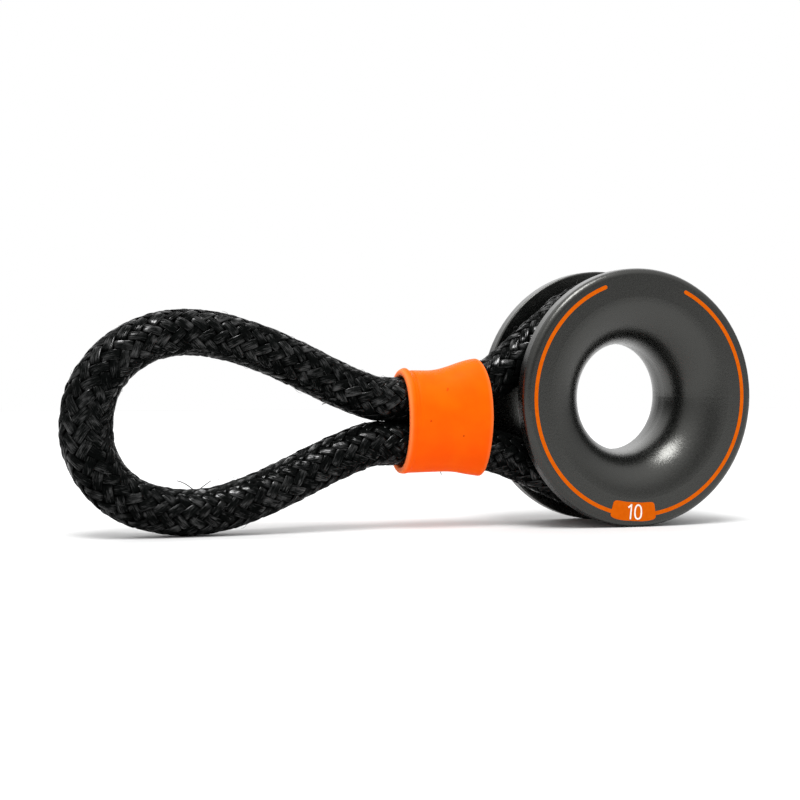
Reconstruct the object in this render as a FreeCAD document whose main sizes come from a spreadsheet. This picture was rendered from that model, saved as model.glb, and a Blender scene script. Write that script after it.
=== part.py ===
import FreeCAD, Part
import math
import os
import Sketcher
from FreeCAD import Placement, Rotation, Vector

# Low friction ring on a rope loop, in millimetres.
# The origin is the centre of the ring's bore. The bore's axis lies along Y, the printed face looks
# along -Y, the rope loop reaches out along -X, and +Z is up. The ring stands on the rims of its two
# flanges, and the rope's eye rests on the same surface, half a ring diameter below the origin.

SIZES = {
    # turned ring
    "ring_diameter": 24.0,
    "ring_width": 9.8,
    "bore_diameter": 10.0,
    "throat_land": 1.0,
    "throat_wall": 2.25,
    "groove_side_play": 1.3,
    "face_edge_round": 0.6,
    "groove_edge_round": 0.15,
    # braided rope
    "rope_diameter": 4.0,
    "rope_seat_gap": 0.15,
    "leg_gap": 0.1,
    # rubber sleeve
    "sleeve_length": 8.0,
    "sleeve_wall": 0.55,
    "sleeve_clearance": 0.1,
    "sleeve_to_ring": 2.2,
    "sleeve_axis_height": 9.8,
    "lip_length": 0.6,
    "lip_height": 0.15,
}

# The rope's free route, from the sleeve round the eye and back: how far each point lies beyond the
# sleeve's left end, and how far the rope's underside there is above the surface it rests on.
EYE_ROUTE = [
    (14.4, 15.1),
    (22.0, 15.9),
    (27.4, 12.45),
    (28.9, 6.6),
    (26.2, 1.6),
    (20.5, -0.26),
    (14.5, 0.6),
]

# Where the two legs bend, inside the sleeve's right end and beyond its left end.
LEG_BEND_INSIDE = 0.8
LEG_BEND_OUTSIDE = 2.6

# Share of the shorter run that a bend's tangent takes up.
BEND_SHARE = 0.45

# How far a cutting profile runs past the metal that it cuts.
OVERRUN = 1.0

# Stations of the sleeve's sections, as shares of its length from the left end.
SLEEVE_STATIONS = [0.0, 0.3, 0.55, 0.8, 1.0]

doc = FreeCAD.newDocument("low_friction_ring")


def make_sheet():
    """The spreadsheet of driving dimensions: a name beside each value, and the name as its alias."""
    sheet = doc.addObject("Spreadsheet::Sheet", "Sizes")
    for row, (name, value) in enumerate(SIZES.items(), start=1):
        sheet.set(f"A{row}", name)
        sheet.set(f"B{row}", str(value))
        sheet.setAlias(f"B{row}", name)
    doc.recompute()
    return sheet


sheet = make_sheet()


def size(name):
    """A driving dimension, read from the sheet."""
    return float(sheet.get(name))


# Sizes that several pieces share.
ring_radius = size("ring_diameter") / 2
rope_radius = size("rope_diameter") / 2
groove_floor_radius = size("bore_diameter") / 2 + size("throat_wall")
groove_radius = rope_radius + size("groove_side_play")
wrap_radius = groove_floor_radius + size("rope_seat_gap") + rope_radius
floor_height = -ring_radius
sleeve_right = -(ring_radius + size("sleeve_to_ring"))
sleeve_left = sleeve_right - size("sleeve_length")


def new_body(label):
    """An empty body whose label names the piece's file."""
    body = doc.addObject("PartDesign::Body", label)
    body.Label = label
    return body


def origin_plane(body, role):
    """One of the body's own origin planes."""
    return next(item for item in body.Origin.OriginFeatures if item.Role == role)


def new_sketch(body, name, role, offset=0.0):
    """A sketch on one of the body's origin planes, moved along the plane's normal."""
    sketch = body.newObject("Sketcher::SketchObject", name)
    sketch.AttachmentSupport = [(origin_plane(body, role), "")]
    sketch.MapMode = "FlatFace"
    sketch.AttachmentOffset = Placement(Vector(0, 0, offset), Rotation())
    return sketch


def join_chain(sketch, first, last):
    """Tie the end of each piece of a closed outline to the start of the next."""
    count = last - first + 1
    for step in range(count):
        here = first + step
        after = first + (step + 1) % count
        sketch.addConstraint(Sketcher.Constraint("Coincident", here, 2, after, 1))


def circle_sketch(body, name, role, radius, expression):
    """A circle whose radius follows the sheet."""
    sketch = new_sketch(body, name, role)
    sketch.addGeometry(Part.Circle(Vector(0, 0, 0), Vector(0, 0, 1), radius), False)
    rule = sketch.addConstraint(Sketcher.Constraint("Radius", 0, radius))
    sketch.setExpression(f"Constraints[{rule}]", expression)
    return sketch


def outline_sketch(body, name, outlines):
    """Closed outlines of lines and arcs on the plane through the bore's axis."""
    sketch = new_sketch(body, name, "XY_Plane")
    for outline in outlines:
        first = sketch.GeometryCount
        sketch.addGeometry(outline, False)
        join_chain(sketch, first, sketch.GeometryCount - 1)
    return sketch


def turn_away(body, name, sketch):
    """Cut a sketched profile away all round the bore's axis."""
    cut = body.newObject("PartDesign::Groove", name)
    cut.Profile = sketch
    cut.ReferenceAxis = (sketch, ["V_Axis"])
    cut.Angle = 360.0
    return cut


def line(start, end):
    return Part.LineSegment(Vector(*start, 0), Vector(*end, 0))


def mouth_outline(side):
    """Half section of one flared mouth: a quarter round from the throat out to the face, and lines."""
    bore_radius = size("bore_diameter") / 2
    throat_end = side * size("throat_land") / 2
    face = side * size("ring_width") / 2
    flare_radius = abs(face - throat_end)
    mouth_radius = bore_radius + flare_radius
    outside = face + side * OVERRUN
    inside = bore_radius - OVERRUN
    slant = flare_radius * math.sqrt(0.5)
    flare = Part.Arc(
        Vector(bore_radius, throat_end, 0),
        Vector(mouth_radius - slant, throat_end + side * slant, 0),
        Vector(mouth_radius, face, 0),
    )
    corners = [
        (mouth_radius, face),
        (mouth_radius, outside),
        (inside, outside),
        (inside, throat_end),
        (bore_radius, throat_end),
    ]
    if side > 0:
        corners.reverse()
    return [flare] + [line(here, after) for here, after in zip(corners, corners[1:])]


def groove_outline():
    """Half section of the rope's groove: a round floor between two straight flanks."""
    centre = groove_floor_radius + groove_radius
    outside = ring_radius + OVERRUN
    floor = Part.Arc(
        Vector(centre, groove_radius, 0),
        Vector(groove_floor_radius, 0, 0),
        Vector(centre, -groove_radius, 0),
    )
    return [
        floor,
        line((centre, -groove_radius), (outside, -groove_radius)),
        line((outside, -groove_radius), (outside, groove_radius)),
        line((outside, groove_radius), (centre, groove_radius)),
    ]


def rim_edges(shape, offset):
    """Names of the circular edges of full ring diameter that lie this far from the middle plane."""
    names = []
    for number, edge in enumerate(shape.Edges, start=1):
        box = edge.BoundBox
        on_rim = abs(box.XMax - ring_radius) < 1e-4
        at_offset = abs(abs(box.Center.y) - offset) < 1e-4
        if on_rim and at_offset and box.YLength < 1e-4:
            names.append(f"Edge{number}")
    return names


def round_edges(body, name, offset, radius_name):
    """Round the two rim edges that lie one each side of the middle plane."""
    doc.recompute()
    before = body.Tip
    fillet = body.newObject("PartDesign::Fillet", name)
    fillet.Base = (before, rim_edges(before.Shape, offset))
    fillet.setExpression("Radius", f"Sizes.{radius_name}")
    return fillet


def make_ring():
    """The ring, turned from one piece: a disc, its bore, two flared mouths and the rope's groove."""
    body = new_body("ring")

    blank = body.newObject("PartDesign::Pad", "blank")
    blank.Profile = circle_sketch(body, "blank_outline", "XZ_Plane", ring_radius, "Sizes.ring_diameter / 2")
    blank.Midplane = True
    blank.setExpression("Length", "Sizes.ring_width")

    bore = body.newObject("PartDesign::Pocket", "bore")
    bore_radius = size("bore_diameter") / 2
    bore.Profile = circle_sketch(body, "bore_outline", "XZ_Plane", bore_radius, "Sizes.bore_diameter / 2")
    bore.Midplane = True
    bore.Type = "ThroughAll"

    mouths = outline_sketch(body, "mouth_outlines", [mouth_outline(-1), mouth_outline(1)])
    turn_away(body, "flared_mouths", mouths)

    turn_away(body, "rope_groove", outline_sketch(body, "groove_outline", [groove_outline()]))

    round_edges(body, "face_rounds", size("ring_width") / 2, "face_edge_round")
    round_edges(body, "groove_rounds", groove_radius, "groove_edge_round")
    return body


def bend(before, corner, after):
    """The arc that rounds a corner of the route, as large as its two runs allow."""
    to_before = before - corner
    to_after = after - corner
    reach = BEND_SHARE * min(to_before.Length, to_after.Length)
    half_turn = (math.pi - to_before.getAngle(to_after)) / 2
    radius = reach / math.tan(half_turn)
    to_before.normalize()
    to_after.normalize()
    inward = to_before + to_after
    inward.normalize()
    centre = corner + inward * (radius / math.cos(half_turn))
    return {
        "start": corner + to_before * reach,
        "middle": centre - inward * radius,
        "end": corner + to_after * reach,
        "centre": centre,
        "radius": radius,
    }


def tangent_point(outside, side):
    """Where the straight run from a point touches the rope's circle round the ring."""
    turn = side * math.acos(wrap_radius / outside.Length)
    ray = Rotation(Vector(0, 1, 0), math.degrees(turn)).multVec(outside)
    ray.normalize()
    return ray * wrap_radius


def route_points():
    """The middle line's points: the upper leg, the eye and the lower leg, in order."""
    axis = floor_height + size("sleeve_axis_height")
    spread = rope_radius + size("leg_gap") / 2
    inner = sleeve_right - LEG_BEND_INSIDE
    outer = sleeve_left - LEG_BEND_OUTSIDE
    resting = floor_height + rope_radius
    upper_leg = [Vector(inner, 0, axis + spread), Vector(outer, 0, axis + spread)]
    eye = [Vector(sleeve_left - reach, 0, resting + clear) for reach, clear in EYE_ROUTE]
    lower_leg = [Vector(outer, 0, axis - spread), Vector(inner, 0, axis - spread)]
    return upper_leg + eye + lower_leg


points = route_points()
upper_contact = tangent_point(points[0], 1)
lower_contact = tangent_point(points[-1], -1)
ends = [upper_contact] + points + [lower_contact]
bends = [bend(*ends[step:step + 3]) for step in range(len(points))]


def route_pieces():
    """The closed route: half of the wrap, run and bend by turns, and the other half of the wrap."""
    far_side = Vector(wrap_radius, 0, 0)
    top = Vector(0, 0, wrap_radius)
    pieces = [Part.Arc(far_side, top, upper_contact)]
    here = upper_contact
    for arc in bends:
        pieces.append(Part.LineSegment(here, arc["start"]))
        pieces.append(Part.Arc(arc["start"], arc["middle"], arc["end"]))
        here = arc["end"]
    pieces.append(Part.LineSegment(here, lower_contact))
    pieces.append(Part.Arc(lower_contact, -top, far_side))
    return pieces


def make_rope():
    """The rope: one closed loop in the ring's groove, through the sleeve and round the open eye."""
    pieces = route_pieces()
    route = doc.addObject("Part::Feature", "rope_route")
    route.Shape = Part.Wire([piece.toShape() for piece in pieces])

    section = doc.addObject("Part::Circle", "rope_section")
    section.setExpression("Radius", "Sizes.rope_diameter / 2")
    section.Placement = Placement(Vector(wrap_radius, 0, 0), Rotation())

    rope = doc.addObject("Part::Sweep", "rope_loop")
    rope.Label = "rope_loop"
    rope.Sections = [section]
    rope.Spine = (route, [f"Edge{number}" for number in range(1, len(pieces) + 1)])
    rope.Solid = True
    rope.Frenet = False
    doc.recompute()

    length = route.Shape.Length
    print("rope length", round(length, 2))
    print("bend radii", [round(arc["radius"], 2) for arc in bends], "wrap", round(wrap_radius, 2))
    print("rope volume", round(rope.Shape.Volume, 2), "of", round(math.pi * rope_radius**2 * length, 2))
    return rope


def leg_middle(station, right_bend, left_bend, side):
    """Height and slope of one leg's middle line at a station along the sleeve."""
    straight_right = min((right_bend["start"], right_bend["end"]), key=lambda point: point.x)
    straight_left = max((left_bend["start"], left_bend["end"]), key=lambda point: point.x)
    if station > straight_right.x:
        arc = right_bend
    elif station < straight_left.x:
        arc = left_bend
    else:
        return straight_right.z, 0.0
    across = station - arc["centre"].x
    drop = math.sqrt(arc["radius"]**2 - across**2)
    return arc["centre"].z - side * drop, math.asin(across / arc["radius"])


def sleeve_section(body, name, share, radius):
    """A slot-shaped section round the two legs, at one station of the sleeve."""
    station = sleeve_left + share * size("sleeve_length")
    reach = rope_radius + size("sleeve_clearance")
    heights = []
    for side, right_bend, left_bend in ((1, bends[0], bends[1]), (-1, bends[-1], bends[-2])):
        height, slope = leg_middle(station, right_bend, left_bend, side)
        # A leg that crosses the section on a slope needs a little more height there.
        heights.append(height + side * reach * (1 / math.cos(slope) - 1))
    top, bottom = heights
    sketch = new_sketch(body, name, "YZ_Plane", station)
    outline = [
        Part.Arc(Vector(radius, top, 0), Vector(0, top + radius, 0), Vector(-radius, top, 0)),
        line((-radius, top), (-radius, bottom)),
        Part.Arc(Vector(-radius, bottom, 0), Vector(0, bottom - radius, 0), Vector(radius, bottom, 0)),
        line((radius, bottom), (radius, top)),
    ]
    sketch.addGeometry(outline, False)
    join_chain(sketch, 0, len(outline) - 1)
    return sketch


def sleeve_loft(body, kind, name, radius):
    """A smooth loft through the sleeve's sections."""
    sections = [
        sleeve_section(body, f"{name}_section_{number}", share, radius)
        for number, share in enumerate(SLEEVE_STATIONS)
    ]
    loft = body.newObject(kind, name)
    loft.Profile = sections[0]
    loft.Sections = sections[1:]
    return loft


def make_sleeve():
    """The stretched sleeve: an oval tube that follows both legs, with a rolled lip at the eye's end."""
    body = new_body("sleeve")
    inner_radius = rope_radius + size("sleeve_clearance")
    outer_radius = inner_radius + size("sleeve_wall")
    sleeve_loft(body, "PartDesign::AdditiveLoft", "outer_skin", outer_radius)

    lip = body.newObject("PartDesign::Pad", "lip")
    lip.Profile = sleeve_section(body, "lip_outline", 0.0, outer_radius + size("lip_height"))
    lip.setExpression("Length", "Sizes.lip_length")

    sleeve_loft(body, "PartDesign::SubtractiveLoft", "rope_passage", inner_radius)
    return body


def check_objects():
    """Stop if any object failed to build."""
    doc.recompute()
    for item in doc.Objects:
        if "Invalid" in item.State or "Error" in item.State:
            raise RuntimeError(f"{item.Name} did not build: {item.State}")


def check_piece(piece):
    """Stop if a piece's shape is empty or broken."""
    if piece.Shape.isNull() or not piece.Shape.isValid() or len(piece.Shape.Solids) != 1:
        raise RuntimeError(f"{piece.Label} is not one valid solid")


pieces = [make_ring(), make_rope(), make_sleeve()]
check_objects()
for piece in pieces:
    check_piece(piece)

os.makedirs("parts", exist_ok=True)
for piece in pieces:
    piece.Shape.exportStep(f"parts/{piece.Label}.step")
    box = piece.Shape.BoundBox
    print(piece.Label, "volume", round(piece.Shape.Volume, 2), "faces", len(piece.Shape.Faces), box)
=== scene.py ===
import math

import bpy
import numpy as np
from mathutils import Matrix, Vector


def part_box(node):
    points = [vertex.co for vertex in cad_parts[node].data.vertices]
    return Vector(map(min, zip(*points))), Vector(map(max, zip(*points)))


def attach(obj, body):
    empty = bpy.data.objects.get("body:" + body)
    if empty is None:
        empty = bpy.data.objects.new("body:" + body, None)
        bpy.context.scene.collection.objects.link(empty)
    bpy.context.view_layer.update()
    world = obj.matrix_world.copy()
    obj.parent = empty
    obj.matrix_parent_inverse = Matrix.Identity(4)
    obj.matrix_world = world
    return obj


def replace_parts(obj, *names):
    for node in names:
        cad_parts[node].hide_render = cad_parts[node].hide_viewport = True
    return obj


# Low friction ring on a braided rope loop, in metres, in the part's own frame.
# The ring's bore lies along Y, its printed face looks along -Y, the loop reaches out along -X,
# and the ring's rims and the loop's eye rest on a floor half a ring diameter below the origin.

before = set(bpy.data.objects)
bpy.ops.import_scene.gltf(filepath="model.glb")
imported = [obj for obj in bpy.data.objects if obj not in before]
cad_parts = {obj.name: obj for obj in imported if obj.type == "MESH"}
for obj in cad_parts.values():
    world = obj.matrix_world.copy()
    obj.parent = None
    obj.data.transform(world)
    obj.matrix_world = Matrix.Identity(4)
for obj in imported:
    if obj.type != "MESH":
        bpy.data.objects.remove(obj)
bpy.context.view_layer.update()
ring_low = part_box("ring")[0]
sleeve_low, sleeve_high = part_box("sleeve")

MM = 0.001
TURN = 2 * math.pi
LINE_RESOLUTION = 48

# Ring: its printed face's place along Y, and the height that its rims stand on.
FACE = ring_low.y
FLOOR = ring_low.z

# Rope. Its wrap round the ring starts and ends where the legs leave the groove.
ROPE_RADIUS = 2.0 * MM
ACROSS_LOOP = np.array([0.0, 1.0, 0.0])
WRAP_CONTROL_RADIUS = 9.58 * MM
WRAP_STEP = math.radians(22.5)
UPPER_CONTACT = math.radians(129.4)
LOWER_CONTACT = math.radians(-111.3)

# The rope is fuller round the far bend of the eye, where the braid opens.
FAR_BEND = (-50.6 * MM, -2.5 * MM)
FAR_BEND_REACH = 6.0 * MM
FAR_BEND_SWELL = 0.14

# The rope's route as (x, z) points: from inside the sleeve round the eye and back through the sleeve.
# Round the ring it follows a circle, and then it comes back to its start.
LEG_START = (-19.3 * MM, -0.20 * MM)
LEG_END = (-14.8 * MM, -0.25 * MM)
ROUTE = [
    (-22.6 * MM, -0.20 * MM),
    (-25.45 * MM, -0.22 * MM),
    (-36.6 * MM, 5.10 * MM),
    (-44.2 * MM, 5.90 * MM),
    (-49.6 * MM, 2.45 * MM),
    (-51.1 * MM, -3.40 * MM),
    (-48.4 * MM, -8.40 * MM),
    (-42.7 * MM, -10.27 * MM),
    (-36.7 * MM, -9.40 * MM),
    (-25.85 * MM, -4.20 * MM),
    (-22.8 * MM, -4.20 * MM),
    (-13.8 * MM, -4.20 * MM),
]

# Braid. A float is the part of a yarn that lies on top, between two dives under the other way's.
STRANDS_EACH_WAY = 12
FLOAT_PITCH = 1.29 * MM
FLOAT_COLUMNS = 6
CROWN_SHARPNESS = 3.4
STEPS_PER_CROSSING = 6
YARN_HALF_WIDTH = 0.425 * MM
YARN_HALF_THICKNESS = 0.15 * MM
YARN_WAVE = 0.13 * MM
YARN_SQUARENESS = 4.4
YARN_SIDES = 12
YARN_WANDER = 0.045 * MM
YARN_LIFT = 0.03 * MM
YARN_WIDTH_CHANGE = 0.07
YARN_PINCH = 0.05
YARN_TILT = 0.16
YARN_DROOP = 0.6
BRAID_SEED = 20

# Each float's tone is drawn from one list, by its crest's number and its strand's.
TONE_COUNT = 4001
TONE_CREST_STEP = 37
TONE_STRAND_STEP = 101

# How far apart the strands lie on the yarns' map, so that no two carry the same pattern.
MAP_STRAND_STEP = 61.7
MAP_WAY_STEP = 1000

# Dark core under the braid.
CORE_DEPTH = 2.6 * YARN_HALF_THICKNESS
CORE_STATIONS = 600
CORE_SIDES = 20

# Loose filaments. The long ones lie where they do on the real rope: four control points each, in mm.
LONG_HAIRS = [
    [(-41.1, -0.6, -8.3), (-41.5, -0.7, -7.9), (-42.2, -0.7, -7.3), (-42.95, -0.8, -7.15)],
    [(-41.4, -0.5, -8.3), (-41.0, -0.6, -8.0), (-40.5, -0.7, -7.6), (-39.95, -0.8, -7.2)],
    [(-29.3, -0.7, -0.25), (-29.0, -0.9, -0.7), (-29.5, -0.9, -0.4), (-29.9, -0.9, -0.65)],
    [(-28.9, -0.6, -0.1), (-28.9, -0.8, -0.8), (-28.5, -0.8, -0.6), (-28.2, -0.9, -0.95)],
    [(-8.2, -1.2, 8.6), (-7.6, -1.2, 9.2), (-7.2, -1.1, 9.5), (-6.7, -1.1, 9.3)],
    [(-18.2, -0.3, -6.85), (-18.2, -0.4, -6.95), (-18.2, -0.4, -7.0), (-18.15, -0.4, -7.1)],
]
LONG_HAIR_RADIUS = 0.055 * MM
HAIR_STEPS = 9
HAIR_SIDES = 3
HAIR_TAPER = 0.3
HAIR_ASIDE = (0.31, 0.87, 0.38)
FUZZ_RADIUS = 0.015 * MM
FUZZ_COUNT = 260
FUZZ_SEED = 7
FUZZ_STATIONS = 1000
FUZZ_ROOT_DEPTH = 0.08 * MM
FUZZ_REACH = (0.25, 0.9)
FUZZ_LIFT = (0.1, 0.5)
FUZZ_LEAN = 0.5

# Fuzz is left out where its tip comes nearer than this to the bore's axis, the floor or the sleeve,
# or lies further than this to the side of the loop's plane.
CLEAR_OF_AXIS = 8.4 * MM
CLEAR_OF_FLOOR = 0.05 * MM
CLEAR_OF_SLEEVE = 0.5 * MM
SIDE_REACH = 3.0 * MM

# Sleeve. Its wall's section is divided finely as far as the lip's span, and more coarsely after it.
# The lip's reach is given towards the end and away from it.
SLEEVE_SIDES = 160
SLEEVE_WALL = 0.55 * MM
SLEEVE_HALF_WIDTH = 2.35 * MM
SLEEVE_SQUARENESS = 2.1
SLEEVE_CORNER = 0.2 * MM
CORNER_STEPS = 4
FINE_SPAN = 1.6 * MM
FINE_STEPS = 38
COARSE_STEPS = 28
LINING_STEPS = 14
LIP_HEIGHT = 0.2 * MM
LIP_PLACE = 0.48 * MM
LIP_REACH = (0.34 * MM, 0.17 * MM)
LIP_SIDE_SHARE = 0.3
SLEEVE_END_BULGE = 0.15 * MM
SLEEVE_TOP_SHORTER = 0.4 * MM
CREASE_PLACE = 1.0 * MM
CREASE_REACH = 0.08 * MM
CREASE_DEPTH = 0.09 * MM
CREASE_FADE = 0.2
# How far from each cut end the painted highlight on the rubber reaches.
HIGHLIGHT_REACH = 0.2 * MM

# The sleeve's top and bottom edges as (x, z) points, seen from the side.
SLEEVE_TOP = [
    (-23.2 * MM, 2.42 * MM),
    (-20.8 * MM, 2.40 * MM),
    (-19.0 * MM, 2.38 * MM),
    (-17.6 * MM, 2.68 * MM),
    (-16.0 * MM, 3.20 * MM),
    (-14.6 * MM, 3.52 * MM),
    (-13.6 * MM, 3.55 * MM),
]
SLEEVE_BOTTOM = [
    (-23.2 * MM, -6.95 * MM),
    (-19.0 * MM, -6.86 * MM),
    (-17.0 * MM, -6.84 * MM),
    (-15.2 * MM, -7.22 * MM),
    (-13.6 * MM, -7.40 * MM),
]

# Specks of dirt on the sleeve, as points in space.
SLEEVE_SPECKS = [
    (-18.43 * MM, -2.28 * MM, 0.75 * MM),
    (-18.50 * MM, -2.32 * MM, 0.60 * MM),
    (-20.28 * MM, -2.90 * MM, -2.1 * MM),
    (-17.03 * MM, -2.81 * MM, -3.47 * MM),
]

# Print on the face: a line that leaves the top free, and a plaque with the bore's size at the foot.
LINE_RADIUS = 10.86 * MM
LINE_HALF_WIDTH = 0.18 * MM
LINE_START = math.radians(110.2)
LINE_END = math.radians(66.1 + 360)
PLAQUE_ANGLE = math.radians(-93.9)
PLAQUE_RADIUS = 10.58 * MM
PLAQUE_HALF_SIZE = (2.3 * MM, 0.87 * MM)
PLAQUE_SQUARENESS = 7.0
INK_THICKNESS = 0.02 * MM
LINE_STEPS = 360
ROUND_END_STEPS = 9
PLAQUE_STEPS = 60

# Outlines stop this short of a rounded end's tip, as angles, so that no strip shrinks to a point.
LINE_TIP = 0.1
PLAQUE_TIP = 0.02

# The number's strokes in mm, from the plaque's middle.
STROKE_HALF_WIDTH = 0.075 * MM
STEM = ((-0.28, -0.70), (-0.28, 0.70))
FLAG = ((-0.60, 0.36), (-0.30, 0.62))
NOUGHT_PLACE = 0.48
NOUGHT_HALF_SIZE = (0.34, 0.64)
NOUGHT_SQUARENESS = 2.3
STEM_STEPS = 8
FLAG_STEPS = 4
NOUGHT_STEPS = 48

# Colours, as shares of red, green and blue light.
# The yarn's colour in the gaps between floats, where painted shade falls.
YARN_PAINTED_SHADE = (0.0002, 0.0002, 0.0002, 1)
YARN_TOP = (0.003, 0.0036, 0.0034, 1)
CORE_DARK = (0.001, 0.001, 0.001, 1)
CORE_LIGHT = (0.003, 0.003, 0.003, 1)
HAIR_DARK = (0.002, 0.002, 0.002, 1)
HAIR_LIGHT = (0.02, 0.02, 0.02, 1)
RUBBER_DEEP = (0.95, 0.091, 0.0, 1)
RUBBER_BRIGHT = (0.95, 0.108, 0.0, 1)
# The sleeve's painted highlight at its cut ends.
RUBBER_PAINTED_HIGHLIGHT = (1.0, 0.30, 0.10, 1)
RUBBER_DIRT = (0.25, 0.02, 0.0, 1)
METAL_TINT = (1.0, 1.0, 0.95, 1)
METAL_DARK = (0.0003, 0.0004, 0.0004, 1)
METAL_LIGHT = (0.003, 0.0034, 0.0032, 1)
METAL_DUST = (0.45, 0.45, 0.42, 1)
ORANGE_INK = ((0.53, 0.086, 0.0, 1), (0.57, 0.099, 0.001, 1))
WHITE_INK = ((0.68, 0.65, 0.61, 1), (0.82, 0.8, 0.77, 1))
FLOOR_WHITE = (0.59, 0.59, 0.59, 1)
WHITE = (1, 1, 1, 1)

# Yarn finish. The patterns' scales are along the yarn and across it. Painted shade darkens a float
# towards its sides, by the square of the place across it, and towards its ends, by how far it stands
# on top.
LINES_SCALE = (0.9, 4.0, 1)
THREADS_SCALE = (1.6, 13.0, 1)
PATCHES_SCALE = (1.3, 0.9, 1)
SIDE_SHADE_RANGE = (0.58, 0.84)
END_SHADE_RANGE = (0.55, 0.93)
GLOSS_EDGES = (0.495, 0.62)
YARN_RELIEF = 0.2 * MM

# Rubber finish.
RUBBER_CLOUD_SCALE = 450.0
RUBBER_WAVE_SCALE = 900.0
RUBBER_GRAIN_SCALE = 6000.0
RUBBER_RELIEF = 0.02 * MM
SPECK_REACH = (0.03 * MM, 0.14 * MM)
SPECK_DEPTH = 0.8

# Metal finish. Dust sits in the few cells that pass the chance.
GRAIN_SCALE = 4500.0
CLOUD_SCALE = 350.0
DUST_SCALE = 620.0
DUST_SIZE = 0.035
DUST_CHANCE = 0.86
METAL_GLOSS = (0.22, 0.32)
METAL_RELIEF = 0.014 * MM

# Studio. The camera looks this way, as shares of X and Y. Strengths are shares of plain white.
VIEW_WAY = (0.373, 0.928)
SHEET_EDGES = (0.52, 0.84)
CORNER_STRENGTHS = (0.14, 0.04)
TENT_STRENGTH = 0.84
AHEAD_DIMMING = 0.52
OVERHEAD_STRENGTHS = (0.58, 1.8)
FLOOR_REACH = 0.3
KEY_PLACE = (-0.57, -1.05, 2.76)
KEY_SIZE = 1.3
KEY_WATTS = 94.0

# Camera.
CAMERA_PLACE = Vector((-79.43, -142.53, 3.76)) * MM
CAMERA_YAW = math.radians(-21.899)
CAMERA_PITCH = math.radians(90 - 1.513)
CAMERA_ROLL = math.radians(0.509)
CAMERA_LENS = 76.5
SENSOR_WIDTH = 36.0
NEAREST_SEEN = 0.01


class Shade:
    """One output of a shader node. Python's operators on it add Math nodes."""

    def __init__(self, nodes, socket):
        self.nodes = nodes
        self.socket = socket

    def math(self, operation, *values):
        """A Math node of one operation on its values."""
        inputs = dict(enumerate(values))
        return self.nodes.node("ShaderNodeMath", {"operation": operation}, inputs)

    def __add__(self, other):
        return self.math("ADD", self, other)

    def __radd__(self, other):
        return self.math("ADD", other, self)

    def __sub__(self, other):
        return self.math("SUBTRACT", self, other)

    def __rsub__(self, other):
        return self.math("SUBTRACT", other, self)

    def __mul__(self, other):
        return self.math("MULTIPLY", self, other)

    def __rmul__(self, other):
        return self.math("MULTIPLY", other, self)

    def __gt__(self, other):
        return self.math("GREATER_THAN", self, other)

    def __lt__(self, other):
        return self.math("LESS_THAN", self, other)


class Nodes:
    """A node tree under construction."""

    def __init__(self, tree):
        self.tree = tree

    def node(self, kind, settings=None, inputs=None, output=0):
        """Any node: its settings first, then the values or links of its inputs."""
        node = self.tree.nodes.new(kind)
        for name, value in (settings or {}).items():
            setattr(node, name, value)
        for key, value in (inputs or {}).items():
            self.feed(node.inputs[key], value)
        return Shade(self, node.outputs[output])

    def feed(self, socket, value):
        """Link a socket to a node's output, or set its value."""
        if isinstance(value, Shade):
            self.tree.links.new(value.socket, socket)
        else:
            socket.default_value = value

    def part(self, vector, axis):
        """One of a vector's three numbers."""
        return self.node("ShaderNodeSeparateXYZ", inputs={0: vector}, output=axis)

    def scaled(self, vector, factors):
        """A vector with each of its numbers multiplied by its own factor."""
        settings = {"operation": "MULTIPLY"}
        return self.node("ShaderNodeVectorMath", settings, {0: vector, 1: factors})

    def distance(self, first, second):
        """How far apart two points are."""
        settings = {"operation": "DISTANCE"}
        return self.node("ShaderNodeVectorMath", settings, {0: first, 1: second}, "Value")

    def remap(self, value, low, high, new_low=0.0, new_high=1.0):
        """A value's range moved to another range, and held inside it."""
        inputs = {0: value, 1: low, 2: high, 3: new_low, 4: new_high}
        return self.node("ShaderNodeMapRange", inputs=inputs)

    def noise(self, vector, scale, detail=2.0, roughness=0.5):
        """A cloudy pattern of values round a half."""
        inputs = {"Vector": vector, "Scale": scale, "Detail": detail, "Roughness": roughness}
        return self.node("ShaderNodeTexNoise", inputs=inputs)

    def blend(self, factor, first, second):
        """A colour between two colours."""
        inputs = {"Factor": factor, 6: first, 7: second}
        return self.node("ShaderNodeMix", {"data_type": "RGBA"}, inputs, output=2)


class Finish(Nodes):
    """A material under construction: everything feeds its one Principled surface."""

    def __init__(self, name, **uniform):
        self.material = bpy.data.materials.new(name)
        self.material.use_nodes = True
        super().__init__(self.material.node_tree)
        self.surface = self.tree.nodes["Principled BSDF"]
        for socket, value in uniform.items():
            self.set(socket.replace("_", " "), value)

    def set(self, socket, value):
        """Give one of the surface's sockets a value or a link."""
        self.feed(self.surface.inputs[socket], value)

    def place(self):
        """Object coordinates, in metres."""
        return self.node("ShaderNodeTexCoord", output="Object")

    def along_across(self):
        """The piece's own map: millimetres along a yarn, and across it from -1 to 1."""
        return self.node("ShaderNodeUVMap", {"uv_map": "yarn"})

    def attribute(self, name):
        """A number that the piece's vertices carry."""
        return self.node("ShaderNodeAttribute", {"attribute_name": name}, output="Fac")

    def bump(self, height, distance):
        """Relief: the height times the distance, on the surface's normal."""
        inputs = {"Height": height, "Distance": distance}
        self.set("Normal", self.node("ShaderNodeBump", inputs=inputs))


def new_mesh(name, vertices, faces, finish, slot, smooth=True):
    """A piece from arrays of vertices and faces that rides on the part's one body."""
    mesh = bpy.data.meshes.new(name)
    mesh.from_pydata(np.reshape(vertices, (-1, 3)), [], faces)
    mesh.polygons.foreach_set("use_smooth", np.full(len(mesh.polygons), smooth))
    mesh.materials.append(finish.material)
    piece = bpy.data.objects.new(name, mesh)
    bpy.context.scene.collection.objects.link(piece)
    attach(piece, "root")
    return piece


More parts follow.
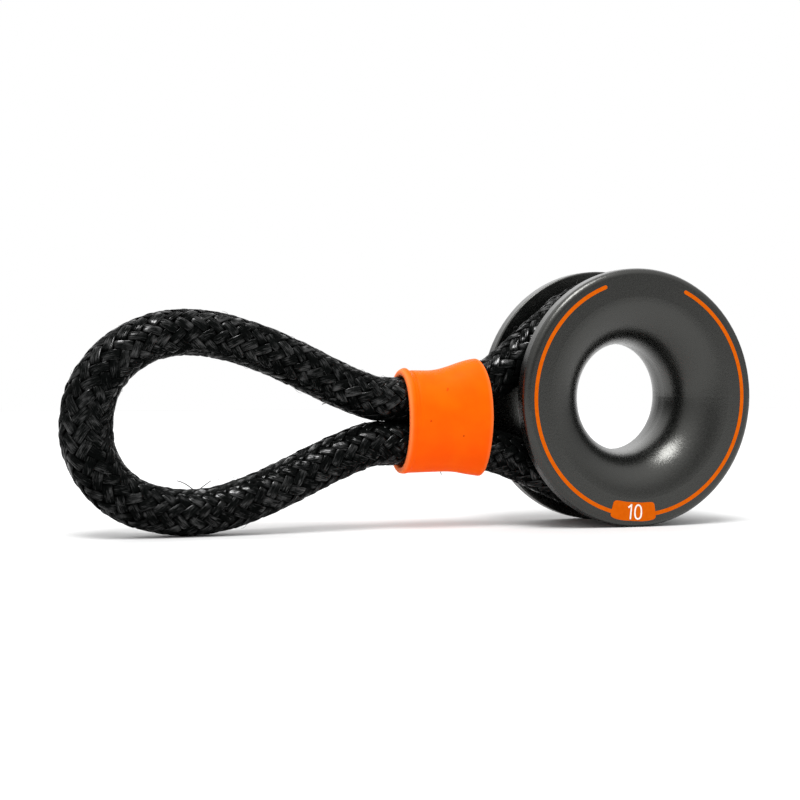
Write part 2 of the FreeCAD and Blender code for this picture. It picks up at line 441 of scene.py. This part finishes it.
def grid_quads(rows, columns):
    """Quads of a grid that closes on itself both ways."""
    row = np.arange(rows)[:, None]
    column = np.arange(columns)[None, :]
    next_row = (row + 1) % rows
    next_column = (column + 1) % columns
    corners = [
        row * columns + column,
        row * columns + next_column,
        next_row * columns + next_column,
        next_row * columns + column,
    ]
    return np.stack(corners, axis=-1).reshape(-1, 4)


def superellipse(angles, squareness):
    """Points of a unit superellipse: a circle's, each number raised to 2 over the squareness."""
    across, up = np.cos(angles), np.sin(angles)
    power = 2 / squareness
    return np.sign(across) * np.abs(across)**power, np.sign(up) * np.abs(up)**power


def spline_line(name, points):
    """The points of a smooth NURBS line that has the given points as its control points."""
    curve = bpy.data.curves.new(name, "CURVE")
    curve.dimensions = "3D"
    curve.resolution_u = LINE_RESOLUTION
    spline = curve.splines.new("NURBS")
    spline.points.add(len(points) - 1)
    weighted = np.hstack([points, np.ones((len(points), 1))])
    spline.points.foreach_set("co", weighted.ravel())
    spline.order_u = 3
    spline.use_endpoint_u = True
    holder = bpy.data.objects.new(name, curve)
    line = bpy.data.meshes.new_from_object(holder)
    vertices = np.empty(len(line.vertices) * 3)
    line.vertices.foreach_get("co", vertices)
    bpy.data.objects.remove(holder)
    bpy.data.curves.remove(curve)
    bpy.data.meshes.remove(line)
    return vertices.reshape(-1, 3)


def wrap_points(start, stop):
    """Control points round the ring, at even angles on a circle just outside the rope's line."""
    count = round(abs(stop - start) / WRAP_STEP)
    angles = np.linspace(start, stop, count + 1)
    return WRAP_CONTROL_RADIUS * np.column_stack([np.cos(angles), 0 * angles, np.sin(angles)])


def in_plane(points):
    """Points of the rope's plane, given as (x, z), as points in space."""
    return np.array([(x, 0.0, z) for x, z in points])


def rope_line():
    """The closed middle line: along the upper leg, round the eye and round the ring to its start."""
    eye = in_plane([LEG_START, *ROUTE])
    wrap = wrap_points(LOWER_CONTACT, UPPER_CONTACT)
    return spline_line("rope_route", np.vstack([eye, wrap, in_plane([LEG_END, LEG_START])]))


def even_stations(line, count):
    """A closed line cut into equal steps: its points, their unit tangents and the line's length."""
    steps = np.linalg.norm(np.diff(line, axis=0), axis=1)
    along = np.concatenate([[0.0], np.cumsum(steps)])
    at = np.arange(count) / count * along[-1]
    points = np.column_stack([np.interp(at, along, line[:, axis]) for axis in range(3)])
    ahead = np.roll(points, -1, axis=0) - np.roll(points, 1, axis=0)
    tangents = ahead / np.linalg.norm(ahead, axis=1)[:, None]
    return points, tangents, along[-1]


def fullness(points):
    """How much fuller the rope is than its plain size: a swelling round the far bend of the eye."""
    away = (points[:, 0] - FAR_BEND[0])**2 + (points[:, 2] - FAR_BEND[1])**2
    return 1 + FAR_BEND_SWELL * np.exp(-away / FAR_BEND_REACH**2)


def smooth_noise(random, rows, count, knot_count):
    """Random numbers from -1 to 1 that change smoothly along each row: eased steps between knots."""
    knots = random.uniform(-1, 1, (rows, knot_count))
    at = np.arange(count) / count * knot_count
    low = at.astype(int)
    share = (1 - np.cos((at - low) * math.pi)) / 2
    return knots[:, low] * (1 - share) + knots[:, (low + 1) % knot_count] * share


rope_route = rope_line()
rope_length = np.linalg.norm(np.diff(rope_route, axis=0), axis=1).sum()
float_count = 2 * round(rope_length / FLOAT_PITCH / 2)
lay_length = rope_length / float_count * STRANDS_EACH_WAY


def braid_rings(hand):
    """One way's strands of the braid, as rings of section points.

    A strand winds round the middle line at a steady rate, one turn to a lay length. Its distance from
    the line is the mean radius plus a wave of its angle: a flattened cosine with six crests to a turn,
    an eighth of a wave on, so that it passes over two strands of the other way and under the next two.
    Its section is a superellipse, wide along the rope's surface and thin across it, that follows the
    rope's roundness. Smooth noise moves, widens, lifts and tilts it a little. Each pass over the
    others has its own random tone.
    """
    stations = 2 * float_count * STEPS_PER_CROSSING
    points, tangents, length = even_stations(rope_route, stations)
    normals = np.cross(ACROSS_LOOP, tangents)
    fuller = fullness(points)[None, :]
    along = np.arange(stations) / stations * length
    random = np.random.default_rng(BRAID_SEED + hand)
    strand = np.arange(STRANDS_EACH_WAY)[:, None]
    changes = [smooth_noise(random, STRANDS_EACH_WAY, stations, 2 * float_count) for _ in range(4)]
    wander, lift, widen, tilt = changes

    start = strand * TURN / STRANDS_EACH_WAY
    angle = start + hand * TURN * along[None, :] / lay_length
    wave = np.cos(FLOAT_COLUMNS * angle + TURN / 8)
    crown = hand * np.tanh(CROWN_SHARPNESS * wave) / math.tanh(CROWN_SHARPNESS)
    crest = np.floor((FLOAT_COLUMNS * angle + TURN / 8) / TURN + hand / 4).astype(int)
    pick = (crest * TONE_CREST_STEP + strand * TONE_STRAND_STEP) % TONE_COUNT
    tone = random.uniform(0, 1, TONE_COUNT)[pick]
    mean_radius = ROPE_RADIUS - YARN_WAVE - YARN_HALF_THICKNESS
    radius = fuller * (mean_radius + YARN_WAVE * crown) + YARN_LIFT * lift
    angle = angle + YARN_WANDER * wander / ROPE_RADIUS
    outward = np.cos(angle)[..., None] * normals + np.sin(angle)[..., None] * ACROSS_LOOP
    middle = points + radius[..., None] * outward

    # A strand's end goes on as the strand whose place it has come round to.
    shift = hand * float_count % STRANDS_EACH_WAY
    before = np.roll(middle, 1, axis=1)
    before[:, 0] = np.roll(middle[:, -1], shift, axis=0)
    after = np.roll(middle, -1, axis=1)
    after[:, -1] = np.roll(middle[:, 0], -shift, axis=0)
    ahead = after - before
    ahead /= np.linalg.norm(ahead, axis=-1)[..., None]
    level = np.cross(outward, ahead)
    level /= np.linalg.norm(level, axis=-1)[..., None]
    upright = np.cross(ahead, level)
    lean = (YARN_TILT * tilt)[..., None]
    sideways = np.cos(lean) * level + np.sin(lean) * upright
    upward = np.cos(lean) * upright - np.sin(lean) * level

    wide, thick = superellipse(np.arange(YARN_SIDES) / YARN_SIDES * TURN, YARN_SQUARENESS)
    width = YARN_HALF_WIDTH * fuller * (1 + YARN_WIDTH_CHANGE * widen + YARN_PINCH * crown)
    spread = (width[..., None] * wide)[..., None]
    rise = (YARN_HALF_THICKNESS * fuller[..., None] * thick)[..., None]
    droop = YARN_DROOP * spread**2 / (2 * ROPE_RADIUS)
    rings = middle[:, :, None] + spread * sideways[:, :, None] + (rise - droop) * upward[:, :, None]
    return rings, crown, tone


def braid(name, rings, crown, tone, hand, parity, finish):
    """Every second strand of one way as a mesh of closed tubes, mapped along and across its yarns."""
    rings, crown, tone = rings[parity::2], crown[parity::2], tone[parity::2]
    strands, stations, sides = rings.shape[:3]
    shift = hand * float_count // 2 % strands
    strand, station, side = np.ogrid[:strands, :stations, :sides]
    last = station == stations - 1
    next_strand = np.where(last, (strand + shift) % strands, strand)
    next_station = (station + 1) % stations
    next_side = (side + 1) % sides

    here = (strand * stations + station) * sides
    there = (next_strand * stations + next_station) * sides
    corners = [here + side, here + next_side, there + next_side, there + side]
    quads = np.stack(np.broadcast_arrays(*corners), axis=-1).reshape(-1, 4)
    piece = new_mesh(name, rings, quads, finish, "braid")

    step = rope_length / stations / MM
    strand_start = MAP_STRAND_STEP * (2 * strand + parity) + MAP_WAY_STEP * hand
    wide = np.cos(np.arange(sides) / sides * TURN)
    along = [strand_start + step * station, strand_start + step * (station + 1)]
    across = [wide[side], wide[next_side]]
    places = [along[0], across[0], along[0], across[1], along[1], across[1], along[1], across[0]]
    pairs = np.stack(np.broadcast_arrays(*places), axis=-1)
    piece.data.uv_layers.new(name="yarn").data.foreach_set("uv", pairs.ravel())
    for key, values in (("on_top", crown), ("tone", tone)):
        spread = np.repeat(values.ravel(), sides)
        piece.data.attributes.new(key, "FLOAT", "POINT").data.foreach_set("value", spread)
    return piece


def core(finish):
    """The dark core under the braid: a circle carried along the rope's middle line."""
    points, tangents, _ = even_stations(rope_route, CORE_STATIONS)
    normals = np.cross(ACROSS_LOOP, tangents)
    turn = np.arange(CORE_SIDES) / CORE_SIDES * TURN
    radius = ((ROPE_RADIUS - CORE_DEPTH) * fullness(points))[:, None, None]
    outward = np.cos(turn)[:, None] * normals[:, None] + np.sin(turn)[:, None] * ACROSS_LOOP
    vertices = points[:, None] + radius * outward
    return new_mesh("rope_core", vertices, grid_quads(CORE_STATIONS, CORE_SIDES), finish, "braid")


def wall_outline():
    """The sleeve wall's section, as (along, out) pairs round a strip with rounded corners."""
    length = sleeve_high.x - sleeve_low.x
    quarter = np.linspace(0, TURN / 4, CORNER_STEPS)
    inward = SLEEVE_CORNER * (1 - np.cos(quarter))
    upward = SLEEVE_CORNER * np.sin(quarter)
    near_lip = np.linspace(SLEEVE_CORNER, FINE_SPAN, FINE_STEPS)[1:]
    beyond = np.linspace(FINE_SPAN, length - SLEEVE_CORNER, COARSE_STEPS)[1:-1]
    skin = np.concatenate([near_lip, beyond])
    lining = np.linspace(length - SLEEVE_CORNER, SLEEVE_CORNER, LINING_STEPS)[1:-1]
    low, high = SLEEVE_CORNER, SLEEVE_WALL - SLEEVE_CORNER
    along = [inward, skin, length - inward[::-1], length - inward, lining, inward[::-1]]
    left = [high + upward, 0 * skin + SLEEVE_WALL]
    right = [high + upward[::-1], low - upward, 0 * lining, low - upward[::-1]]
    return np.concatenate(along), np.concatenate(left + right)


def sleeve(finish):
    """The stretched sleeve: the wall's section carried round an oval that closes on both legs.

    At each place along the sleeve the oval is a superellipse whose top and bottom lie on two edge
    lines. A rolled lip stands up near the eye's end, high at the top and low at the sides, and a
    crease beside it fades out half way down.
    """
    along, out = wall_outline()
    x = sleeve_low.x + along
    over = spline_line("sleeve_top", in_plane(SLEEVE_TOP))
    under = spline_line("sleeve_bottom", in_plane(SLEEVE_BOTTOM))
    top = np.interp(x, over[:, 0], over[:, 2]) - SLEEVE_WALL
    bottom = np.interp(x, under[:, 0], under[:, 2]) + SLEEVE_WALL
    turn = np.arange(SLEEVE_SIDES) / SLEEVE_SIDES * TURN
    across, up = superellipse(turn, SLEEVE_SQUARENESS)
    share = out / SLEEVE_WALL
    reach = np.where(along < LIP_PLACE, *LIP_REACH)
    lip = LIP_HEIGHT * np.exp(-((along - LIP_PLACE) / reach)**2) * share
    lip_share = LIP_SIDE_SHARE + (1 - LIP_SIDE_SHARE) * np.clip(np.sin(turn), 0, 1)**2
    crease = CREASE_DEPTH * np.exp(-((along - CREASE_PLACE) / CREASE_REACH)**2) * share
    crease_share = np.clip(np.sin(turn) + CREASE_FADE, 0, 1)
    grown = out[:, None] + lip[:, None] * lip_share - crease[:, None] * crease_share
    length = sleeve_high.x - sleeve_low.x
    longer = SLEEVE_END_BULGE * (1 - np.abs(up)) - SLEEVE_TOP_SHORTER * np.clip(up, 0, 1)**4
    vertices = np.empty((len(x), SLEEVE_SIDES, 3))
    vertices[..., 0] = x[:, None] + longer * (along[:, None] / length)**2
    vertices[..., 1] = (SLEEVE_HALF_WIDTH + grown) * across
    vertices[..., 2] = ((top + bottom) / 2)[:, None] + (((top - bottom) / 2)[:, None] + grown) * up
    quads = grid_quads(len(x), SLEEVE_SIDES)
    piece = new_mesh("rubber_sleeve", vertices, quads, finish, "sleeve_rubber")

    # Painted highlight: the rubber is paler near each cut end, where the rim catches the light.
    to_end = np.minimum(along, length - along)
    edge_highlight = np.exp(-(to_end / HIGHLIGHT_REACH)**2)[:, None] * np.ones(SLEEVE_SIDES)
    piece.data.attributes.new("edge_highlight", "FLOAT", "POINT").data.foreach_set("value", edge_highlight.ravel())
    return piece


def on_face(angle, radius, height):
    """Points on the printed face, by angle round the bore and radius, some height in front of it."""
    corners = np.broadcast_arrays(radius * np.cos(angle), FACE - height, radius * np.sin(angle))
    return np.stack(corners, axis=-1)


def ink_strip(path, half_width, angle, radius, base=0.0, closed=False):
    """A thin strip of ink along a path on the face, as vertices and faces.

    The path's (right, up) points are laid out from a place on the face given by its angle and radius:
    right turns round the bore and up goes towards it.
    """
    path = np.asarray(path)
    if closed:
        ahead = np.roll(path, -1, axis=0) - np.roll(path, 1, axis=0)
    else:
        ahead = np.gradient(path, axis=0)
    ahead /= np.linalg.norm(ahead, axis=1)[:, None]
    left = np.column_stack([-ahead[:, 1], ahead[:, 0]])
    share = np.array([1, 1, -1, -1])
    level = np.array([0, 1, 1, 0])
    half = np.broadcast_to(half_width, len(path))
    laid = path[:, None] + (half[:, None] * share)[..., None] * left[:, None]
    height = base + level * INK_THICKNESS
    vertices = on_face(angle + laid[..., 0] / radius, radius - laid[..., 1], height)
    rows, columns = laid.shape[:2]
    faces = grid_quads(rows, columns).tolist()
    if not closed:
        first, last = np.arange(columns), (rows - 1) * columns + np.arange(columns)
        faces = faces[: (rows - 1) * columns] + [first[::-1].tolist(), last.tolist()]
    return vertices.reshape(-1, 3), faces


def joined(parts):
    """Several meshes' vertices and faces as one mesh's."""
    faces = []
    base = 0
    for vertices, part in parts:
        faces += [[number + base for number in face] for face in part]
        base += len(vertices)
    return np.vstack([vertices for vertices, _ in parts]), faces


def printed_line(finish):
    """The thin line round the face: a strip with round ends that leaves the top free."""
    length = (LINE_END - LINE_START) * LINE_RADIUS
    round_end = LINE_HALF_WIDTH * (1 - np.cos(np.linspace(LINE_TIP, TURN / 4, ROUND_END_STEPS)))
    between = np.linspace(round_end[-1], length - round_end[-1], LINE_STEPS)[1:-1]
    right = np.concatenate([round_end, between, (length - round_end)[::-1]])
    near = np.clip(1 - np.minimum(right, length - right) / LINE_HALF_WIDTH, 0, 1)
    half_width = LINE_HALF_WIDTH * np.sqrt(1 - near**2)
    path = np.column_stack([right, 0 * right])
    vertices, faces = ink_strip(path, half_width, LINE_START, LINE_RADIUS)
    return new_mesh("printed_line", vertices, faces, finish, "ink", smooth=False)


def size_plaque(finish):
    """The filled plaque at the foot of the face: a rounded oblong bent round the bore."""
    half_turn = np.linspace(TURN / 2 - PLAQUE_TIP, PLAQUE_TIP, PLAQUE_STEPS)
    across, up = superellipse(half_turn, PLAQUE_SQUARENESS)
    path = np.column_stack([PLAQUE_HALF_SIZE[0] * across, 0 * across])
    base = 0.5 * INK_THICKNESS
    vertices, faces = ink_strip(path, PLAQUE_HALF_SIZE[1] * up, PLAQUE_ANGLE, PLAQUE_RADIUS, base)
    return new_mesh("size_plaque", vertices, faces, finish, "ink", smooth=False)


def size_number(finish):
    """The bore's size in millimetres in plain strokes: a stem with its flag, and an oval nought.

    The flag lies a little deeper than the stem, so that their tops don't share a plane.
    """
    stem = np.linspace(*STEM, STEM_STEPS) * MM
    flag = np.linspace(*FLAG, FLAG_STEPS) * MM
    turn = np.arange(NOUGHT_STEPS) / NOUGHT_STEPS * TURN
    across, up = superellipse(turn, NOUGHT_SQUARENESS)
    half_width, half_height = NOUGHT_HALF_SIZE
    nought = np.column_stack([NOUGHT_PLACE + half_width * across, half_height * up]) * MM
    base = 1.5 * INK_THICKNESS
    parts = [
        ink_strip(path, STROKE_HALF_WIDTH, PLAQUE_ANGLE, PLAQUE_RADIUS, height, path is nought)
        for path, height in ((stem, base), (flag, 0.9 * base), (nought, base))
    ]
    return new_mesh("size_number", *joined(parts), finish, "ink", smooth=False)


def hair_tubes(controls, radius):
    """Hairs as thin tapering tubes along cubic Bezier curves, with four control points each."""
    controls = np.asarray(controls)
    steps, sides = HAIR_STEPS, HAIR_SIDES
    share = np.linspace(0, 1, steps)[:, None]
    left = 1 - share
    weights = np.hstack([left**3, 3 * share * left**2, 3 * share**2 * left, share**3])
    middle = np.einsum("sk,hkc->hsc", weights, controls)
    ahead = np.gradient(middle, axis=1)
    ahead /= np.linalg.norm(ahead, axis=-1)[..., None]
    level = np.cross(HAIR_ASIDE, ahead)
    level /= np.linalg.norm(level, axis=-1)[..., None]
    upright = np.cross(ahead, level)
    turn = np.arange(sides) / sides * TURN
    thin = radius * (1 - HAIR_TAPER * share[:, 0])[:, None, None]
    outward = np.cos(turn)[:, None] * level[:, :, None] + np.sin(turn)[:, None] * upright[:, :, None]
    vertices = middle[:, :, None] + thin * outward
    hair, step, side = np.ogrid[:len(controls), :steps - 1, :sides]
    here = (hair * steps + step) * sides
    after = (side + 1) % sides
    corners = [here + side, here + after, here + sides + after, here + sides + side]
    quads = np.stack(np.broadcast_arrays(*corners), axis=-1).reshape(-1, 4).tolist()
    first = np.arange(len(controls))[:, None] * steps * sides + np.arange(sides)
    caps = first[:, ::-1].tolist() + (first + (steps - 1) * sides).tolist()
    return vertices.reshape(-1, 3), quads + caps


def stray_fibres(finish):
    """Loose filaments: a few long ones at listed places, and short fuzz scattered over the rope."""
    random = np.random.default_rng(FUZZ_SEED)
    points, tangents, _ = even_stations(rope_route, FUZZ_STATIONS)
    pick = random.integers(0, FUZZ_STATIONS, FUZZ_COUNT)
    points, tangents = points[pick], tangents[pick]
    normals = np.cross(ACROSS_LOOP, tangents)
    angle = random.uniform(0, TURN, FUZZ_COUNT)[:, None]
    outward = np.cos(angle) * normals + np.sin(angle) * ACROSS_LOOP
    root = points + outward * (ROPE_RADIUS * fullness(points) - FUZZ_ROOT_DEPTH)[:, None]
    reach = random.uniform(*FUZZ_REACH, FUZZ_COUNT)[:, None] * MM
    way = tangents * random.choice([-1, 1], FUZZ_COUNT)[:, None]
    way = way + FUZZ_LEAN * random.uniform(-1, 1, (FUZZ_COUNT, 3))
    lift = random.uniform(*FUZZ_LIFT, FUZZ_COUNT)[:, None]
    tip = root + reach * (way + lift * outward)
    bulge = random.uniform(*FUZZ_LIFT, (2, FUZZ_COUNT, 1)) * reach * outward
    early = root + 0.3 * (tip - root) + bulge[0]
    late = root + 0.7 * (tip - root) + bulge[1]
    scattered = np.stack([root, early, late, tip], axis=1)

    x, y, z = tip.T
    clear = (np.hypot(x, z) > CLEAR_OF_AXIS) & (z > FLOOR + CLEAR_OF_FLOOR)
    clear &= np.abs(y) < SIDE_REACH
    clear &= (x < sleeve_low.x - CLEAR_OF_SLEEVE) | (x > sleeve_high.x + CLEAR_OF_SLEEVE)
    long_hairs = hair_tubes(np.array(LONG_HAIRS) * MM, LONG_HAIR_RADIUS)
    fuzz = hair_tubes(scattered[clear], FUZZ_RADIUS)
    return new_mesh("stray_fibres", *joined([long_hairs, fuzz]), finish, "braid")


def yarn_finish():
    """Black braided yarn: flat floats outlined by painted shade, fine filament lines and uneven gloss.
    """
    finish = Finish(
        "braid_yarn",
        Specular_IOR_Level=0.01,
        Coat_Roughness=0.17,
        Coat_IOR=1.6,
    )
    run = finish.along_across()
    side = finish.part(run, 1)
    # Painted shade: the float's colour goes dark towards its sides and towards its ends, where it
    # dives under.
    inside = finish.remap(side * side, *SIDE_SHADE_RANGE, 1.0, 0.0)
    outside_painted_shade = finish.remap(finish.attribute("on_top"), *END_SHADE_RANGE) * inside
    tone = finish.attribute("tone")
    lines = finish.noise(finish.scaled(run, LINES_SCALE), 1.0, detail=3.0, roughness=0.65)
    threads = finish.noise(finish.scaled(run, THREADS_SCALE), 1.0)
    patches = finish.noise(finish.scaled(run, PATCHES_SCALE), 1.0, detail=3.0)
    light = (finish.remap(lines, 0.3, 0.7, 0.4, 1.0) * 0.75 + tone * 0.25) * outside_painted_shade
    finish.set("Base Color", finish.blend(light, YARN_PAINTED_SHADE, YARN_TOP))
    finish.set("Roughness", finish.remap(patches, 0.3, 0.7, 0.4, 0.6))
    gloss = finish.remap(patches * 0.45 + threads * 0.49 + tone * 0.06, *GLOSS_EDGES)
    finish.set("Coat Weight", gloss * outside_painted_shade)
    finish.bump(lines * 0.5 + threads * 0.5, YARN_RELIEF)
    return finish


def core_finish():
    """The unlit inside of the rope."""
    finish = Finish("rope_core", Roughness=0.9)
    mottle = finish.noise(finish.place(), 3000.0)
    finish.set("Base Color", finish.blend(mottle, CORE_DARK, CORE_LIGHT))
    return finish


def fibre_finish():
    """Single filaments, dark and a little shiny."""
    finish = Finish("stray_fibre", Roughness=0.45)
    mottle = finish.noise(finish.place(), 900.0)
    finish.set("Base Color", finish.blend(mottle, HAIR_DARK, HAIR_LIGHT))
    return finish


def rubber_finish():
    """Bright silicone rubber: soft gloss, faint mottling, painted highlights at the cut ends and a few
    dark specks.
    """
    finish = Finish("sleeve_rubber", Roughness=0.42, Specular_IOR_Level=0.04)
    place = finish.place()
    cloud = finish.remap(finish.noise(place, RUBBER_CLOUD_SCALE, detail=3.0), 0.35, 0.65)
    body = finish.blend(cloud, RUBBER_DEEP, RUBBER_BRIGHT)
    # Painted highlight near the cut ends.
    with_highlight = finish.blend(finish.attribute("edge_highlight") * 0.5, body, RUBBER_PAINTED_HIGHLIGHT)
    dirt = 0.0
    for spot in SLEEVE_SPECKS:
        away = finish.distance(place, spot)
        dirt = dirt + finish.remap(away, *SPECK_REACH, SPECK_DEPTH, 0.0)
    finish.set("Base Color", finish.blend(dirt, with_highlight, RUBBER_DIRT))
    grain = finish.noise(place, RUBBER_GRAIN_SCALE)
    wave = finish.noise(place, RUBBER_WAVE_SCALE)
    finish.bump(grain * 0.4 + wave * 0.6, RUBBER_RELIEF)
    return finish


def metal_finish():
    """Dark anodised metal: fine mottled grain, a soft satin gloss and a few specks of dust."""
    finish = Finish("anodised", IOR=1.62, Specular_Tint=METAL_TINT)
    place = finish.place()
    grain = finish.noise(place, GRAIN_SCALE, detail=3.0, roughness=0.7)
    cloud = finish.noise(place, CLOUD_SCALE, detail=3.0)
    tone = finish.remap(grain * 0.7 + cloud * 0.3, 0.35, 0.65)
    metal = finish.blend(tone, METAL_DARK, METAL_LIGHT)
    cells = {"Vector": place, "Scale": DUST_SCALE}
    to_speck = finish.node("ShaderNodeTexVoronoi", inputs=cells, output="Distance")
    chance = finish.part(finish.node("ShaderNodeTexVoronoi", inputs=cells, output="Color"), 0)
    speck = (to_speck < DUST_SIZE) * (chance > DUST_CHANCE)
    finish.set("Base Color", finish.blend(speck, metal, METAL_DUST))
    finish.set("Roughness", finish.remap(grain, 0.3, 0.7, *METAL_GLOSS))
    finish.bump(grain, METAL_RELIEF)
    return finish


def ink_finish(name, dark, light):
    """Matte ink, thinner in some places than in others."""
    finish = Finish(name, Roughness=0.5, Specular_IOR_Level=0.03)
    cloud = finish.remap(finish.noise(finish.place(), 2500.0, detail=3.0), 0.35, 0.65)
    finish.set("Base Color", finish.blend(cloud, dark, light))
    return finish


yarn = yarn_finish()
strands = []
for way, hand in (("right", 1), ("left", -1)):
    rings, crown, tone = braid_rings(hand)
    for order, parity in (("first", 0), ("second", 1)):
        name = f"rope_strands_{way}_{order}"
        strands.append(braid(name, rings, crown, tone, hand, parity, yarn))
rope_core = core(core_finish())
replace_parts(strands[0], "rope_loop")
stray_fibres(fibre_finish())

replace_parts(sleeve(rubber_finish()), "sleeve")

shown_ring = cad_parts["ring"].data
shown_ring.materials.clear()
shown_ring.materials.append(metal_finish().material)

orange_ink = ink_finish("orange_ink", *ORANGE_INK)
printed_line(orange_ink)
size_plaque(orange_ink)
size_number(ink_finish("white_ink", *WHITE_INK))


def floor():
    """A white floor that takes soft shadows and throws light back up at the part."""
    corners = [(-1, -1), (1, -1), (1, 1), (-1, 1)]
    places = [(x * FLOOR_REACH, y * FLOOR_REACH, FLOOR) for x, y in corners]
    mesh = bpy.data.meshes.new("floor")
    mesh.from_pydata(places, [], [(0, 1, 2, 3)])
    mesh.materials.append(Finish("floor", Base_Color=FLOOR_WHITE, Roughness=1.0).material)
    piece = bpy.data.objects.new("floor", mesh)
    bpy.context.scene.collection.objects.link(piece)


def studio_world():
    """A white studio: bright overhead, a lit tent in front, a white sheet behind and dark corners.

    Right ahead of the part the tent is dimmer. The camera itself sees plain white all round.
    """
    world = bpy.data.worlds.new("studio")
    bpy.context.scene.world = world
    world.use_nodes = True
    nodes = Nodes(world.node_tree)
    way = nodes.node("ShaderNodeTexCoord", output="Generated")
    across, depth, height = (nodes.part(way, axis) for axis in range(3))
    sheet = nodes.remap(across * VIEW_WAY[0] + depth * VIEW_WAY[1], *SHEET_EDGES)
    corner = nodes.remap(across, -0.4, 0.3, *CORNER_STRENGTHS)
    tent = nodes.remap(depth + across * 0.1, -0.5, 0.45, TENT_STRENGTH, corner)
    ahead = nodes.remap(depth, -1.0, -0.75, AHEAD_DIMMING, 0.0)
    overhead = nodes.remap(height, 0.2, 0.75) * nodes.remap(depth, -0.1, 0.6, *OVERHEAD_STRENGTHS)
    above = nodes.remap(height, -0.15, 0.0)
    seen = nodes.node("ShaderNodeLightPath", output="Is Camera Ray")
    light = above * (sheet + tent - ahead + overhead) * (1 - seen) + seen
    background = world.node_tree.nodes["Background"]
    nodes.feed(background.inputs["Strength"], light)
    background.inputs["Color"].default_value = WHITE


def softbox(name, place, target, size, watts):
    """A square soft light at a place, aimed at a point."""
    data = bpy.data.lights.new(name, "AREA")
    data.size = size
    data.energy = watts
    lamp = bpy.data.objects.new(name, data)
    lamp.location = place
    lamp.rotation_euler = (Vector(target) - Vector(place)).to_track_quat("-Z", "Y").to_euler()
    bpy.context.scene.collection.objects.link(lamp)


def camera():
    """The photograph's view: from the left and a little above the bore's axis."""
    data = bpy.data.cameras.new("camera")
    data.sensor_width = SENSOR_WIDTH
    data.lens = CAMERA_LENS
    data.clip_start = NEAREST_SEEN
    eye = bpy.data.objects.new("camera", data)
    turned = Matrix.Rotation(CAMERA_YAW, 4, "Z") @ Matrix.Rotation(CAMERA_PITCH, 4, "X")
    turned = turned @ Matrix.Rotation(CAMERA_ROLL, 4, "Z")
    eye.matrix_world = Matrix.Translation(CAMERA_PLACE) @ turned
    bpy.context.scene.collection.objects.link(eye)
    bpy.context.scene.camera = eye


floor()
studio_world()
softbox("key", KEY_PLACE, (0, 0, 0), KEY_SIZE, KEY_WATTS)
camera()
bpy.context.scene.view_settings.view_transform = "Standard"
